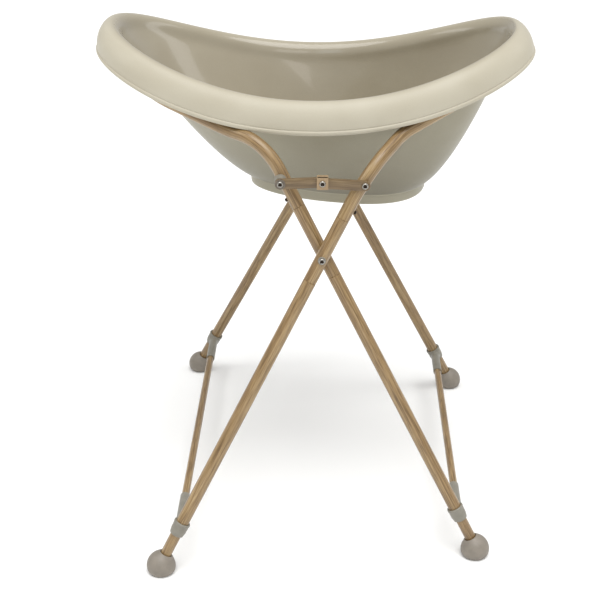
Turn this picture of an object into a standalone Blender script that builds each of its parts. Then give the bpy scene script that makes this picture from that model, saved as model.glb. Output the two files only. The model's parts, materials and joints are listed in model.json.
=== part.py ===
"""A baby bath on a folding X stand, in metres, +Z up, feet on z = 0.

The origin is under the middle of the bath. +X runs towards the bath's steeper (foot) end, -Y is the front.
The stand is two nested U frames that cross on a pivot axis along Y. Frame A has its feet on the left (-X)
and holds the right end of the bath; frame B has its feet on the right and holds the left end.
"""
import math

import bmesh
import bpy
from mathutils import Matrix, Vector

# Stand: leg lines
CROSS_X = 0.017            # pivot axis, right of the bath's middle
CROSS_Z = 0.630            # height of the pivot axis
FOOT_HALF_SPREAD = 0.3225   # feet left and right of the pivot axis, on the floor
FOOT_Y = {"a": 0.4295, "b": 0.3570}    # half depth of each frame at the floor
CROSS_Y = {"a": 0.316, "b": 0.287}     # half depth of each frame at the pivot axis
LEAN = {"a": 1, "b": -1}               # the way each frame's top leans
SIDES = {"front": -1, "rear": 1}
GAP = 0.0003               # between pieces that touch

# Stand: tubes
TUBE_R = 0.0125
TUBE_WALL = 0.0012
BORE_R = TUBE_R - TUBE_WALL
NECK_R = BORE_R - GAP      # swaged end that plugs into the tube above
NECK_BORE_R = NECK_R - TUBE_WALL
NECK_LENGTH = 0.034
UPPER_SEAM = {"a": 0.0835, "b": 0.0990}  # along a leg, from the pivot axis
LOWER_SEAM = -0.050
BUTTON_RISE = 0.020        # snap button above its seam
FOOT_TUBE_R = 0.0109
FOOT_TUBE_BORE_R = 0.0097
FOOT_TUBE_TOP = 0.030      # above the collar's middle, inside the leg
FOOT_TUBE_END_Z = 0.016
COLLAR_Z = 0.0936          # height of the collars and side rods
COLLAR_HALF = 0.0145
ROD_R = 0.0078
ROD_START = 0.0160         # side rod's end, from the leg's axis
SOCKET_R = 0.0098
SOCKET_END = {"a": 0.112, "b": 0.100}  # sockets' mouths, from the leg's axis
TUBE_SIDES = 16

# Stand: upper U tubes. Corners are for the front half; bend radii go with them.
BEND_S = {"a": 0.134, "b": 0.232}      # first bend, along the leg from the pivot axis
ARM_CORNERS = {
    "a": [
        (0.115, -0.2843, 0.8058), (0.165, -0.214, 0.8405), (0.275, -0.180, 0.896), (0.3778, -0.100, 0.926),
    ],
    "b": [(-0.158, -0.211, 0.841), (-0.285, -0.174, 0.891), (-0.3672, -0.105, 0.926)],
}
BEND_RADII = {"a": [0.250, 0.060, 0.070, 0.100, 0.060], "b": [0.095, 0.090, 0.100, 0.060]}
BEND_STEP = math.radians(11)

# Stand: pivot, brace and buttons
BOLT_R = 0.0030
BOLT_HOLE_R = 0.0034
HEAD_R = 0.0062
HEAD_HEIGHT = 0.0032
HEX_R = 0.0032
HEX_DEPTH = 0.0020
SPACER_R = 0.0090
WASHER_R = 0.0075          # saddle washer under a pivot bolt's head
WASHER_HEIGHT = 0.0020
NUT_R = 0.0060
NUT_BORE_R = 0.0039        # to the corners of its six-sided bore
NUT_HEIGHT = 0.0050
BRACE_Z = 0.7710           # brace bolts on the legs
BRACE_OFFSET = 0.005       # and their distance outwards from the legs' axes
BRACE_RISE = 0.004         # middle bolt above them, so that the brace locks straight
BAR_HALF_HEIGHT = 0.0100
BAR_THICK = 0.0050
BAR_FACE_Y = 0.3068        # where frame A's bar meets frame B's, from the middle plane
CLIP_HALF = 0.0105         # half width of the clip over the brace's middle
CLIP_DROP = 0.0115
CLIP_RISE = 0.0150
CLIP_PLATE = 0.0012
STAND_OFF_R = 0.0110
BUTTON_R = 0.0034
BUTTON_HOLE_R = 0.0038
BUTTON_SIDES = 10

# Bath
RIM_LEFT, RIM_RIGHT = 0.4302, 0.4280   # how far the rim reaches each way
RIM_B = 0.2447             # half width over the rim
RIM_N = 2.36               # superellipse exponent of the rim's plan
RIM_Z = 0.8417             # rim's lower edge at mid length
RIM_SAG = 0.106            # how much higher that edge is at the ends
ROLL_RISE = 0.0585         # the roll's crest, above the rim's lower edge
ROLL_INSET = 0.0300        # and in from its outline
ROLL_INSIDE = 0.0448       # the roll's inner side under its crest
END_DROP = (0.103, 0.168)  # share by which the roll is lower at its left and right ends
END_LEAN = 0.0095          # how far the crest leans in at the right end
END_POWER = 5.2            # how closely these two keep to the ends
BODY_TOP_INSET = 0.047     # body wall under the rim's sides, in from the rim's outline
BODY_END_INSET = 0.0445    # and under its ends
BODY_TOP_RISE = 0.030      # and above the rim's lower edge
BODY_Z = 0.692             # where the body wall meets the plinth
BODY_LEFT, BODY_RIGHT, BODY_HALF = -0.1349, 0.2267, 0.1435
LEFT_CURVE, RIGHT_CURVE, SIDE_CURVE = 0.7425, 0.6755, 0.95
BODY_N = 2.336             # superellipse exponent of the plinth's plan
EGG = 0.258                # share by which the plinth is wider at its right end, and narrower at its left
EGG_FADE = 0.7             # how fast that fades up the wall
WALL = 0.0042
PLINTH_Z = 0.6715
PLINTH_INSET = 0.0035
FLOOR_Z = PLINTH_Z + 0.0085
AROUND = 52                # points around each loop of the bath
DRAIN_X = 0.165
DRAIN_R = 0.0140

COLOURS = {
    "bath_plastic": ((0.62, 0.57, 0.46), 0.25, 0.0),
    "trim_plastic": ((0.60, 0.57, 0.49), 0.45, 0.0),
    "foot_plastic": ((0.56, 0.53, 0.46), 0.55, 0.0),
    "wood_print": ((0.47, 0.32, 0.18), 0.45, 0.0),
    "steel": ((0.42, 0.41, 0.40), 0.30, 1.0),
}


def clear_scene():
    for thing in list(bpy.data.objects):
        bpy.data.objects.remove(thing, do_unlink=True)


def material(slot, name):
    """A Principled material of a slot's colour, roughness and metallic value."""
    colour, roughness, metallic = COLOURS[slot]
    made = bpy.data.materials.new(f"{slot}_{name}")
    made.use_nodes = True
    shader = made.node_tree.nodes["Principled BSDF"]
    shader.inputs["Base Color"].default_value = (*colour, 1.0)
    shader.inputs["Roughness"].default_value = roughness
    shader.inputs["Metallic"].default_value = metallic
    return made


def place_of(empty):
    """The world position of an empty, which is only ever moved, never turned."""
    place = Vector()
    while empty:
        place += empty.location
        empty = empty.parent
    return place


def add_empty(name, location, parent=None):
    empty = bpy.data.objects.new(name, None)
    empty.location = Vector(location) - place_of(parent)
    empty.parent = parent
    bpy.context.scene.collection.objects.link(empty)
    return empty


def add_object(name, data, slot, matrix, parent):
    """Links an object at a world matrix, under a parent empty."""
    made = bpy.data.objects.new(name, data)
    bpy.context.scene.collection.objects.link(made)
    if slot:
        data.materials.append(material(slot, name))
    made.parent = parent
    made.matrix_local = Matrix.Translation(-place_of(parent)) @ matrix
    return made


def mesh_from(bm, name, smooth_angle=35):
    bmesh.ops.recalc_face_normals(bm, faces=bm.faces)
    mesh = bpy.data.meshes.new(name)
    bm.to_mesh(mesh)
    bm.free()
    mesh.shade_smooth()
    mesh.set_sharp_from_angle(angle=math.radians(smooth_angle))
    return mesh


def turned_mesh(name, profile, sides):
    """Spins (radius, height) points about Z. A profile that leaves the axis is closed into a ring."""
    bm = bmesh.new()
    verts = [bm.verts.new((radius, 0, height)) for radius, height in profile]
    edges = [bm.edges.new(pair) for pair in zip(verts, verts[1:])]
    if profile[0][0] > 0:
        edges.append(bm.edges.new((verts[-1], verts[0])))
    bmesh.ops.spin(bm, geom=verts + edges, cent=(0, 0, 0), axis=(0, 0, 1), angle=math.tau, steps=sides,
                   use_merge=True)
    bmesh.ops.remove_doubles(bm, verts=bm.verts, dist=1e-6)
    return mesh_from(bm, name)


def frame_matrix(origin, z_axis, x_hint):
    """A matrix at origin whose Z runs along z_axis and whose X is as near x_hint as it can be."""
    z_axis = Vector(z_axis).normalized()
    y_axis = z_axis.cross(Vector(x_hint)).normalized()
    x_axis = y_axis.cross(z_axis)
    matrix = Matrix((x_axis, y_axis, z_axis)).transposed().to_4x4()
    matrix.translation = Vector(origin)
    return matrix


def hide_cutter(tool):
    tool.hide_render = True
    tool.display_type = "WIRE"


def rod_cutter(name, radius, start, end, sides=12):
    """A hidden solid rod from start to end, for cutting or joining."""
    start, end = Vector(start), Vector(end)
    length = (end - start).length
    profile = [(0, length), (radius, length), (radius, 0), (0, 0)]
    hint = Vector((0, 0, 1)) if abs((end - start).normalized().z) < 0.9 else Vector((1, 0, 0))
    place = frame_matrix(start, end - start, hint)
    tool = add_object(name, turned_mesh(name, profile, sides), None, place, None)
    hide_cutter(tool)
    return tool


def shape_with(target, tool, operation="DIFFERENCE"):
    modifier = target.modifiers.new(f"{operation.lower()}_{tool.name}", "BOOLEAN")
    modifier.operation = operation
    modifier.solver = "EXACT"
    modifier.object = tool


class Leg:
    """The straight axis of one leg: through its foot on the floor and its point on the pivot axis."""

    def __init__(self, frame, side_name):
        side = SIDES[side_name]
        self.frame = frame
        self.side = side
        self.name = f"{frame}_{side_name}"
        self.foot = Vector((CROSS_X - LEAN[frame] * FOOT_HALF_SPREAD, side * FOOT_Y[frame], 0))
        self.cross = Vector((CROSS_X, side * CROSS_Y[frame], CROSS_Z))
        self.axis = (self.cross - self.foot).normalized()
        self.out = Vector((self.axis.z, 0, -self.axis.x)).normalized() * LEAN[frame]

    def point(self, distance):
        """A point on the axis, that far above the pivot axis along the leg."""
        return self.cross + self.axis * distance

    def at_height(self, height):
        return (height - CROSS_Z) / self.axis.z

    def brace_point(self):
        return self.point(self.at_height(BRACE_Z)) + Vector((LEAN[self.frame] * BRACE_OFFSET, 0, 0))

    def matrix(self, distance):
        return frame_matrix(self.point(distance), self.axis, self.out)

    def tube_cutter(self, name, radius, low, high):
        return rod_cutter(name, radius, self.point(low), self.point(high), 24)


def tube_with_neck(leg, name, low, high, parent):
    """A tube from low to high along a leg, with a swaged neck above that plugs into the next tube."""
    length = high - low
    top = length + NECK_LENGTH
    profile = [
        (NECK_R, top), (NECK_R, length), (TUBE_R, length), (TUBE_R, 0),
        (BORE_R, 0), (BORE_R, length - 0.0040), (NECK_BORE_R, length - 0.0015), (NECK_BORE_R, top),
    ]
    return add_object(name, turned_mesh(name, profile, TUBE_SIDES), "wood_print", leg.matrix(low), parent)


def rounded_path(corners, radii, step):
    """The corners with each inner one turned into an arc of its radius, as points."""
    points = [corners[0]]
    for before, corner, after, radius in zip(corners, corners[1:], corners[2:], radii):
        inward = (before - corner).normalized()
        outward = (after - corner).normalized()
        half = inward.angle(outward) / 2
        bisector = (inward + outward).normalized()
        centre = corner + bisector * (radius / math.sin(half))
        start = corner + inward * (radius / math.tan(half)) - centre
        end = corner + outward * (radius / math.tan(half)) - centre
        turn = start.angle(end)
        count = max(2, round(turn / step))
        for index in range(count + 1):
            share = index / count
            weight_start = math.sin((1 - share) * turn) / math.sin(turn)
            weight_end = math.sin(share * turn) / math.sin(turn)
            points.append(centre + start * weight_start + end * weight_end)
    points.append(corners[-1])
    return points


def mirrored(point):
    return Vector((point.x, -point.y, point.z))


def swept_tube_mesh(name, points, across):
    """A hollow tube along points. Its rings turn with the path and start from the direction across."""
    bm = bmesh.new()
    outer_rings, inner_rings = [], []
    for index, point in enumerate(points):
        before = points[max(index - 1, 0)]
        after = points[min(index + 1, len(points) - 1)]
        tangent = ((point - before).normalized() + (after - point).normalized()).normalized()
        across = (across - tangent * across.dot(tangent)).normalized()
        upward = tangent.cross(across)
        for rings, radius in ((outer_rings, TUBE_R), (inner_rings, BORE_R)):
            ring_verts = []
            for step in range(TUBE_SIDES):
                angle = math.tau * step / TUBE_SIDES
                spot = point + (across * math.cos(angle) + upward * math.sin(angle)) * radius
                ring_verts.append(bm.verts.new(spot))
            rings.append(ring_verts)
    loop = outer_rings + inner_rings[::-1] + outer_rings[:1]
    for first, second in zip(loop, loop[1:]):
        for step in range(TUBE_SIDES):
            after = (step + 1) % TUBE_SIDES
            bm.faces.new((first[step], first[after], second[after], second[step]))
    return mesh_from(bm, name)


def upper_frame(frame, front, parent):
    """The bent U tube of one frame: two arms and the crossbar under the bath's end."""
    half = [front.point(UPPER_SEAM[frame] + GAP), front.point(BEND_S[frame])]
    half += [Vector(corner) for corner in ARM_CORNERS[frame]]
    corners = half + [mirrored(point) for point in reversed(half)]
    radii = BEND_RADII[frame] + BEND_RADII[frame][::-1]
    points = rounded_path(corners, radii, BEND_STEP)
    name = f"upper_frame_{frame}"
    return add_object(name, swept_tube_mesh(name, points, front.out), "wood_print", Matrix(), parent)


def snap_button(leg, parent):
    """A domed button on a flange inside the leg, above its upper seam; its axis points out of the leg."""
    profile = [
        (0, 0.0170), (0.0024, 0.0166), (BUTTON_R, 0.0156), (BUTTON_R, 0.0080),
        (0.0046, 0.0080), (0.0046, 0.0070), (0, 0.0070),
    ]
    name = f"snap_button_{leg.name}"
    place = frame_matrix(leg.point(UPPER_SEAM[leg.frame] + BUTTON_RISE), leg.out, leg.axis)
    return add_object(name, turned_mesh(name, profile, BUTTON_SIDES), "steel", place, parent)


def button_hole_cutter(leg):
    centre = leg.point(UPPER_SEAM[leg.frame] + BUTTON_RISE)
    start, end = centre + leg.out * 0.002, centre + leg.out * 0.02
    return rod_cutter(f"button_hole_{leg.name}", BUTTON_HOLE_R, start, end)


def collar(leg, parent):
    """The sleeve at a leg's lower end, with the socket that takes the side rod."""
    middle = leg.at_height(COLLAR_Z)
    low, high = -COLLAR_HALF, COLLAR_HALF
    profile = [
        (0, high), (0.0158, high), (0.0166, high - 0.0012), (0.0166, high - 0.0040), (0.0158, high - 0.0050),
        (0.0156, low + 0.0100), (0.0138, low), (0, low),
    ]
    name = f"collar_{leg.name}"
    mesh = turned_mesh(name, profile, TUBE_SIDES)
    made = add_object(name, mesh, "trim_plastic", leg.matrix(middle), parent)
    centre = leg.point(middle)
    inward = Vector((0, -leg.side, 0))
    mouth = centre + inward * SOCKET_END[leg.frame]
    socket = rod_cutter(f"socket_shape_{leg.name}", SOCKET_R, centre + inward * 0.008, mouth, 16)
    shape_with(made, socket, "UNION")
    shape_with(made, leg.tube_cutter(f"leg_bore_{leg.name}", TUBE_R + GAP, middle, middle + 0.1))
    bore_name = f"foot_tube_bore_{leg.name}"
    shape_with(made, leg.tube_cutter(bore_name, FOOT_TUBE_R + GAP, middle - 0.1, middle + 0.01))
    rod_bore = rod_cutter(f"rod_bore_{leg.name}", ROD_R + GAP, centre + inward * (ROD_START - GAP),
                          mouth + inward * 0.01, 16)
    shape_with(made, rod_bore)
    return made


def foot(leg, parent):
    """A round bell of a foot with a flat sole, and a neck that grips the foot tube."""
    profile = [
        (0, 0.0385), (0.0150, 0.0376), (0.0212, 0.0342), (0.0262, 0.0278), (0.0286, 0.0205),
        (0.0290, 0.0140), (0.0278, 0.0068), (0.0248, 0.0018), (0.0215, 0), (0, 0),
    ]
    name = f"foot_{leg.name}"
    centre = leg.point(leg.at_height(0.020))
    place = Matrix.Translation((centre.x, centre.y, 0))
    made = add_object(name, turned_mesh(name, profile, 20), "foot_plastic", place, parent)
    base = leg.at_height(0.020)
    top = leg.at_height(0.0420) - base
    flare = [(0, top), (0.0142, top), (0.0154, top - 0.0035), (0.0200, top - 0.0110), (0.0236, 0), (0, 0)]
    neck_mesh = turned_mesh("foot_neck", flare, 20)
    neck = add_object(f"foot_neck_{leg.name}", neck_mesh, None, leg.matrix(base), None)
    hide_cutter(neck)
    shape_with(made, neck, "UNION")
    start = leg.at_height(FOOT_TUBE_END_Z) - GAP
    shape_with(made, leg.tube_cutter(f"foot_bore_{leg.name}", FOOT_TUBE_R + GAP, start, leg.at_height(0.1)))
    return made


def straight_tube(leg, name, radius, bore, low, high, parent):
    length = high - low
    profile = [(radius, length), (radius, 0), (bore, 0), (bore, length)]
    return add_object(name, turned_mesh(name, profile, TUBE_SIDES), "wood_print", leg.matrix(low), parent)


def side_rod(frame, front, parent):
    """The thin tube that joins a frame's front and rear collars."""
    centre = front.point(front.at_height(COLLAR_Z))
    start = Vector((centre.x, centre.y + ROD_START, centre.z))
    length = -2 * start.y
    profile = [(ROD_R, length), (ROD_R, 0), (ROD_R - 0.001, 0), (ROD_R - 0.001, length)]
    name = f"side_rod_{frame}"
    place = frame_matrix(start, (0, 1, 0), (1, 0, 0))
    return add_object(name, turned_mesh(name, profile, TUBE_SIDES), "wood_print", place, parent)


def bolt(name, seat, side, shank, parent):
    """A button-head bolt along Y. Its head's underside is at seat, and its shank runs inwards."""
    profile = [
        (0, HEAD_HEIGHT), (HEAD_R * 0.62, HEAD_HEIGHT), (HEAD_R * 0.92, HEAD_HEIGHT * 0.6), (HEAD_R, 0),
        (BOLT_R, 0), (BOLT_R, -shank), (0, -shank),
    ]
    place = frame_matrix(seat, (0, side, 0), (1, 0, 0))
    made = add_object(name, turned_mesh(name, profile, 12), "steel", place, parent)
    top = Vector(seat) + Vector((0, side * HEAD_HEIGHT, 0))
    shape_with(made, rod_cutter(f"{name}_hex", HEX_R, top - Vector((0, side * HEX_DEPTH, 0)),
                                top + Vector((0, side * 0.002, 0)), 6))
    return made


def ring(name, slot, centre, direction, inner, outer, thickness, sides, parent):
    """A flat ring whose middle is at centre, about direction."""
    half = thickness / 2
    profile = [(outer, half), (outer, -half), (inner, -half), (inner, half)]
    place = frame_matrix(centre, direction, (1, 0, 0))
    return add_object(name, turned_mesh(name, profile, sides), slot, place, parent)


def saddle(name, leg, point, outer, radius, parent):
    """A ring along Y from a leg's surface at point out to the distance outer, hollowed to sit on the tube."""
    inner = abs(point.y)
    centre = Vector((point.x, leg.side * (outer + inner) / 2, point.z))
    height = outer - inner
    made = ring(name, "trim_plastic", centre, (0, leg.side, 0), BOLT_HOLE_R, radius, height, 16, parent)
    middle = leg.at_height(point.z)
    shape_with(made, leg.tube_cutter(f"{name}_seat", TUBE_R + GAP, middle - 0.05, middle + 0.05))
    return made


def crossing(side_name, leg_a, leg_b, frame_a, frame_b):
    """The pivot bolt through both legs, the spacer between them and the nut on the inner leg."""
    side = SIDES[side_name]
    outer_y = CROSS_Y["a"] + TUBE_R / leg_a.axis.xz.length
    inner_y = CROSS_Y["b"] - TUBE_R / leg_b.axis.xz.length
    washer_y = outer_y + WASHER_HEIGHT
    seat = Vector((CROSS_X, side * (washer_y + GAP), CROSS_Z))
    bolt(f"pivot_bolt_{side_name}", seat, side, washer_y - inner_y + NUT_HEIGHT, frame_a)
    saddle(f"pivot_washer_{side_name}", leg_a, leg_a.cross, washer_y, WASHER_R, frame_a)
    nut_y = inner_y + 0.0004 - NUT_HEIGHT / 2
    middle = Vector((CROSS_X, side * (CROSS_Y["a"] + CROSS_Y["b"]) / 2, CROSS_Z))
    tilt = (leg_a.axis.y / leg_a.axis.z + leg_b.axis.y / leg_b.axis.z) / 2
    spacer_name = f"pivot_spacer_{side_name}"
    across = (0, 1, -tilt)
    ring(spacer_name, "trim_plastic", middle, across, BOLT_HOLE_R + 0.0002, SPACER_R, 0.0022, 16, frame_a)
    nut_centre = Vector((CROSS_X, side * nut_y, CROSS_Z))
    nut_name = f"pivot_nut_{side_name}"
    nut = ring(nut_name, "steel", nut_centre, (0, side, 0), NUT_BORE_R, NUT_R, NUT_HEIGHT, 6, frame_b)
    shape_with(nut, leg_b.tube_cutter(f"nut_seat_{side_name}", TUBE_R + GAP, -0.030, 0.030))


def bar_mesh(name, length):
    """A flat bar with round ends: pivots at the origin and at (length, 0, 0), thickness along Y from 0 back."""
    bm = bmesh.new()
    rim = []
    for centre, start in ((length, -math.pi / 2), (0.0, math.pi / 2)):
        for index in range(7):
            angle = start + math.pi * index / 6
            x = centre + BAR_HALF_HEIGHT * math.cos(angle)
            rim.append(bm.verts.new((x, 0, BAR_HALF_HEIGHT * math.sin(angle))))
    face = bm.faces.new(rim)
    moved = bmesh.ops.extrude_face_region(bm, geom=[face])
    back = [item for item in moved["geom"] if isinstance(item, bmesh.types.BMVert)]
    bmesh.ops.translate(bm, verts=back, vec=(0, BAR_THICK, 0))
    return mesh_from(bm, name)


def brace(side_name, leg_a, leg_b, frame_a, frame_b):
    """The two bars that fold upwards at their middle, their bolts, the stop clip and frame B's stand-off."""
    side = SIDES[side_name]
    middle = Vector((CROSS_X, 0, BRACE_Z + BRACE_RISE))
    bar_faces = {
        "a": (BAR_FACE_Y + BAR_THICK, BAR_FACE_Y),
        "b": (BAR_FACE_Y - GAP, BAR_FACE_Y - GAP - BAR_THICK),
    }
    for leg, frame_empty in ((leg_a, frame_a), (leg_b, frame_b)):
        outer, inner = bar_faces[leg.frame]
        pivot = leg.brace_point()
        reach = middle - Vector((pivot.x, 0, pivot.z))
        origin = Vector((pivot.x, side * (outer if side < 0 else inner), pivot.z))
        hinge = add_empty(f"brace_hinge_{leg.name}", origin, frame_empty)
        name = f"brace_bar_{leg.name}"
        place = Matrix.Translation(origin) @ Matrix.Rotation(-math.atan2(reach.z, reach.x), 4, "Y")
        bar = add_object(name, bar_mesh(name, reach.length), "wood_print", place, hinge)
        for spot, tag in ((pivot, "pivot"), (middle, "middle")):
            at = Vector((spot.x, side * outer, spot.z))
            across = Vector((0, 0.02, 0))
            shape_with(bar, rod_cutter(f"{name}_{tag}_hole", BOLT_HOLE_R, at - across, at + across))
        seat = Vector((pivot.x, side * (outer + GAP), pivot.z))
        bolt(f"brace_bolt_{leg.name}", seat, side, outer - abs(pivot.y) + TUBE_R, frame_empty)
        if leg.frame == "a":
            seat = Vector((middle.x, side * (outer + CLIP_PLATE + 2 * GAP), middle.z))
            bolt(f"brace_link_bolt_{side_name}", seat, side, BAR_THICK + CLIP_PLATE + 2 * GAP, hinge)
            stop_clip(side_name, side, middle, hinge)
        else:
            centre = Vector((middle.x, side * (inner - GAP - 0.0013), middle.z))
            nut_name = f"brace_link_nut_{side_name}"
            ring(nut_name, "steel", centre, (0, side, 0), NUT_BORE_R, NUT_R, 0.0026, 6, hinge)
            saddle(f"brace_stand_off_{side_name}", leg, pivot, inner - GAP, STAND_OFF_R, frame_empty)


def block(name, low, high):
    """A cube mesh between two corners, for a part that is cut or bevelled afterwards."""
    bm = bmesh.new()
    bmesh.ops.create_cube(bm, size=1.0)
    bmesh.ops.scale(bm, verts=bm.verts, vec=high - low)
    bmesh.ops.translate(bm, verts=bm.verts, vec=(low + high) / 2)
    return bm


def stop_clip(side_name, side, middle, hinge):
    """The clip that caps the outer bar's end: a plate under the link bolt's head, turned in over the bar."""
    name = f"brace_stop_{side_name}"
    face = BAR_FACE_Y + BAR_THICK + GAP
    low = Vector((-CLIP_HALF, BAR_FACE_Y, -CLIP_DROP))
    high = Vector((CLIP_HALF, face + CLIP_PLATE, CLIP_RISE))
    bm = block(name, low, high)
    bmesh.ops.bevel(bm, geom=bm.edges, offset=0.0005, segments=1, affect="EDGES")
    inner_low = Vector((-0.02, 0.28, -0.02))
    inner_high = Vector((0.02, face, BAR_HALF_HEIGHT + 0.0010))
    inner = mesh_from(block(f"{name}_inside", inner_low, inner_high), f"{name}_inside")
    place = Matrix.Translation((middle.x, 0, middle.z)) @ Matrix.Diagonal((1, side, 1, 1))
    outer = mesh_from(bm, name)
    for mesh in (outer, inner):
        mesh.transform(place)
        if side < 0:
            mesh.flip_normals()
    made = add_object(name, outer, "trim_plastic", Matrix(), hinge)
    tool = add_object(f"{name}_inside", inner, None, Matrix(), None)
    hide_cutter(tool)
    shape_with(made, tool)
    at = Vector((middle.x, side * face, middle.z))
    across = Vector((0, 0.01, 0))
    shape_with(made, rod_cutter(f"{name}_hole", BOLT_HOLE_R, at - across, at + across))
    return made


def build_stand(frame_a, frame_b):
    frames = {"a": frame_a, "b": frame_b}
    legs = {}
    for frame, parent in frames.items():
        for side_name in SIDES:
            leg = Leg(frame, side_name)
            legs[frame, side_name] = leg
            middle = leg.at_height(COLLAR_Z)
            tube_with_neck(leg, f"leg_tube_{leg.name}", middle + GAP, LOWER_SEAM, parent)
            pivot = tube_with_neck(leg, f"pivot_tube_{leg.name}", LOWER_SEAM + GAP, UPPER_SEAM[frame], parent)
            straight_tube(leg, f"foot_tube_{leg.name}", FOOT_TUBE_R, FOOT_TUBE_BORE_R,
                          leg.at_height(FOOT_TUBE_END_Z), middle + FOOT_TUBE_TOP, parent)
            collar(leg, parent)
            foot(leg, parent)
            snap_button(leg, parent)
            button_hole = button_hole_cutter(leg)
            reach = Vector((0, 0.03, 0))
            shape_with(pivot, button_hole)
            hole_name = f"pivot_hole_{leg.name}"
            shape_with(pivot, rod_cutter(hole_name, BOLT_HOLE_R, leg.cross - reach, leg.cross + reach))
            bolt_at = leg.brace_point()
            brace_hole = rod_cutter(f"brace_hole_{leg.name}", BOLT_HOLE_R, bolt_at - reach, bolt_at + reach)
            leg.upper_cutters = [button_hole, brace_hole]
        bent = upper_frame(frame, legs[frame, "front"], parent)
        for side_name in SIDES:
            for tool in legs[frame, side_name].upper_cutters:
                shape_with(bent, tool)
        side_rod(frame, legs[frame, "front"], parent)
    for side_name in SIDES:
        crossing(side_name, legs["a", side_name], legs["b", side_name], frame_a, frame_b)
        brace(side_name, legs["a", side_name], legs["b", side_name], frame_a, frame_b)


def signed_power(value, exponent):
    return math.copysign(abs(value) ** exponent, value)


def loop_points(left, right, half, height_at, exponent=RIM_N, egg=0.0):
    """A superellipse loop between left and right, wider at its right end by the share egg.

    height_at takes the place along it, from -1 to 1.
    """
    points = []
    for index in range(AROUND):
        angle = math.tau * index / AROUND
        along = signed_power(math.cos(angle), 2 / exponent)
        across = signed_power(math.sin(angle), 2 / exponent)
        x = (left + right) / 2 + (right - left) / 2 * along
        points.append(Vector((x, half * across * (1 + egg * along), height_at(along))))
    return points


def rim_loop(inset, rise):
    """A loop that follows the rim, in from its outline and up from its lower edge.

    Towards the ends the roll is lower, and at the right one its crest leans in.
    """
    def height_at(along):
        drop = END_DROP[along > 0] * abs(along) ** END_POWER
        return RIM_Z + RIM_SAG * along * along + rise * (1 - drop)

    outside = min(1.0, max(0.0, (ROLL_INSIDE - inset) / (ROLL_INSIDE - ROLL_INSET)))
    lean = END_LEAN * outside * rise / ROLL_RISE
    middle = (RIM_RIGHT - RIM_LEFT) / 2
    half_length = (RIM_RIGHT + RIM_LEFT) / 2 - inset
    points = loop_points(inset - RIM_LEFT, RIM_RIGHT - inset, RIM_B - inset, height_at)
    for point in points:
        along = max(0.0, (point.x - middle) / half_length)
        point.x -= lean * along ** END_POWER
    return points


def body_loop(share, inset=0.0, lift=0.0):
    """A loop of the body wall: share 0 is at the plinth and 1 is under the rim."""
    top_left, top_right = BODY_END_INSET - RIM_LEFT, RIM_RIGHT - BODY_END_INSET
    left = BODY_LEFT + (top_left - BODY_LEFT) * share ** LEFT_CURVE + inset
    right = BODY_RIGHT + (top_right - BODY_RIGHT) * share ** RIGHT_CURVE - inset
    half = BODY_HALF + (RIM_B - BODY_TOP_INSET - BODY_HALF) * share ** SIDE_CURVE - inset

    def height_at(along):
        wall_top = RIM_Z + RIM_SAG * along * along + BODY_TOP_RISE
        return BODY_Z + share * (wall_top - BODY_Z) + lift

    exponent = BODY_N + (RIM_N - BODY_N) * share
    return loop_points(left, right, half, height_at, exponent, EGG * (1 - share) ** EGG_FADE)


def flat_loop(inset, height):
    left, right = BODY_LEFT + inset, BODY_RIGHT - inset
    return loop_points(left, right, BODY_HALF - inset, lambda along: height, BODY_N, EGG)


def bath_loops():
    """Every loop of the shell, from the middle of its floor inside to the middle of its underside."""
    shares = [0.02, 0.07, 0.15, 0.27, 0.42, 0.60, 0.80, 0.95]
    rim_over = [
        (0.0515, 0.0360), (0.0480, 0.0455), (0.0430, 0.0525), (0.0370, 0.0570), (ROLL_INSET, ROLL_RISE),
        (0.0225, 0.0565), (0.0150, 0.0510), (0.0085, 0.0420), (0.0040, 0.0310), (0.0018, 0.0180),
        (0.0012, 0.0085), (0.0, 0.0065), (0.0, 0.0020), (0.0014, 0.0),
    ]
    rim_under = [
        (0.0044, 0.0), (0.0054, 0.0060), (0.0060, 0.0180), (0.0082, 0.0295), (0.0124, 0.0395),
        (0.0180, 0.0475), (0.0240, 0.0525), (0.0300, 0.0543), (0.0360, 0.0528), (0.0410, 0.0485),
        (ROLL_INSIDE, 0.0415),
    ]
    loops = [
        flat_loop(WALL + 0.060, FLOOR_Z), flat_loop(WALL + 0.016, FLOOR_Z),
        flat_loop(WALL + 0.006, FLOOR_Z + 0.0012),
    ]
    loops += [body_loop(share, WALL, 0.0035 - 0.0035 * share) for share in shares]
    loops += [rim_loop(*station) for station in rim_over + rim_under]
    loops += [body_loop(share) for share in reversed(shares + [1.0])]
    loops += [flat_loop(0.0006, BODY_Z - 0.0010), flat_loop(PLINTH_INSET, BODY_Z - 0.0016),
              flat_loop(PLINTH_INSET, PLINTH_Z + 0.0016), flat_loop(PLINTH_INSET + 0.0016, PLINTH_Z),
              flat_loop(PLINTH_INSET + 0.0140, PLINTH_Z), flat_loop(PLINTH_INSET + 0.0160, PLINTH_Z + 0.0040),
              flat_loop(WALL + 0.060, PLINTH_Z + 0.0040)]
    return loops


def bath_mesh(name):
    bm = bmesh.new()
    rings = [[bm.verts.new(point) for point in loop] for loop in bath_loops()]
    for lower, upper in zip(rings, rings[1:]):
        for index in range(AROUND):
            after = (index + 1) % AROUND
            bm.faces.new((lower[index], lower[after], upper[after], upper[index]))
    bm.faces.new(rings[0])
    bm.faces.new(rings[-1])
    return mesh_from(bm, name, 40)


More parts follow.
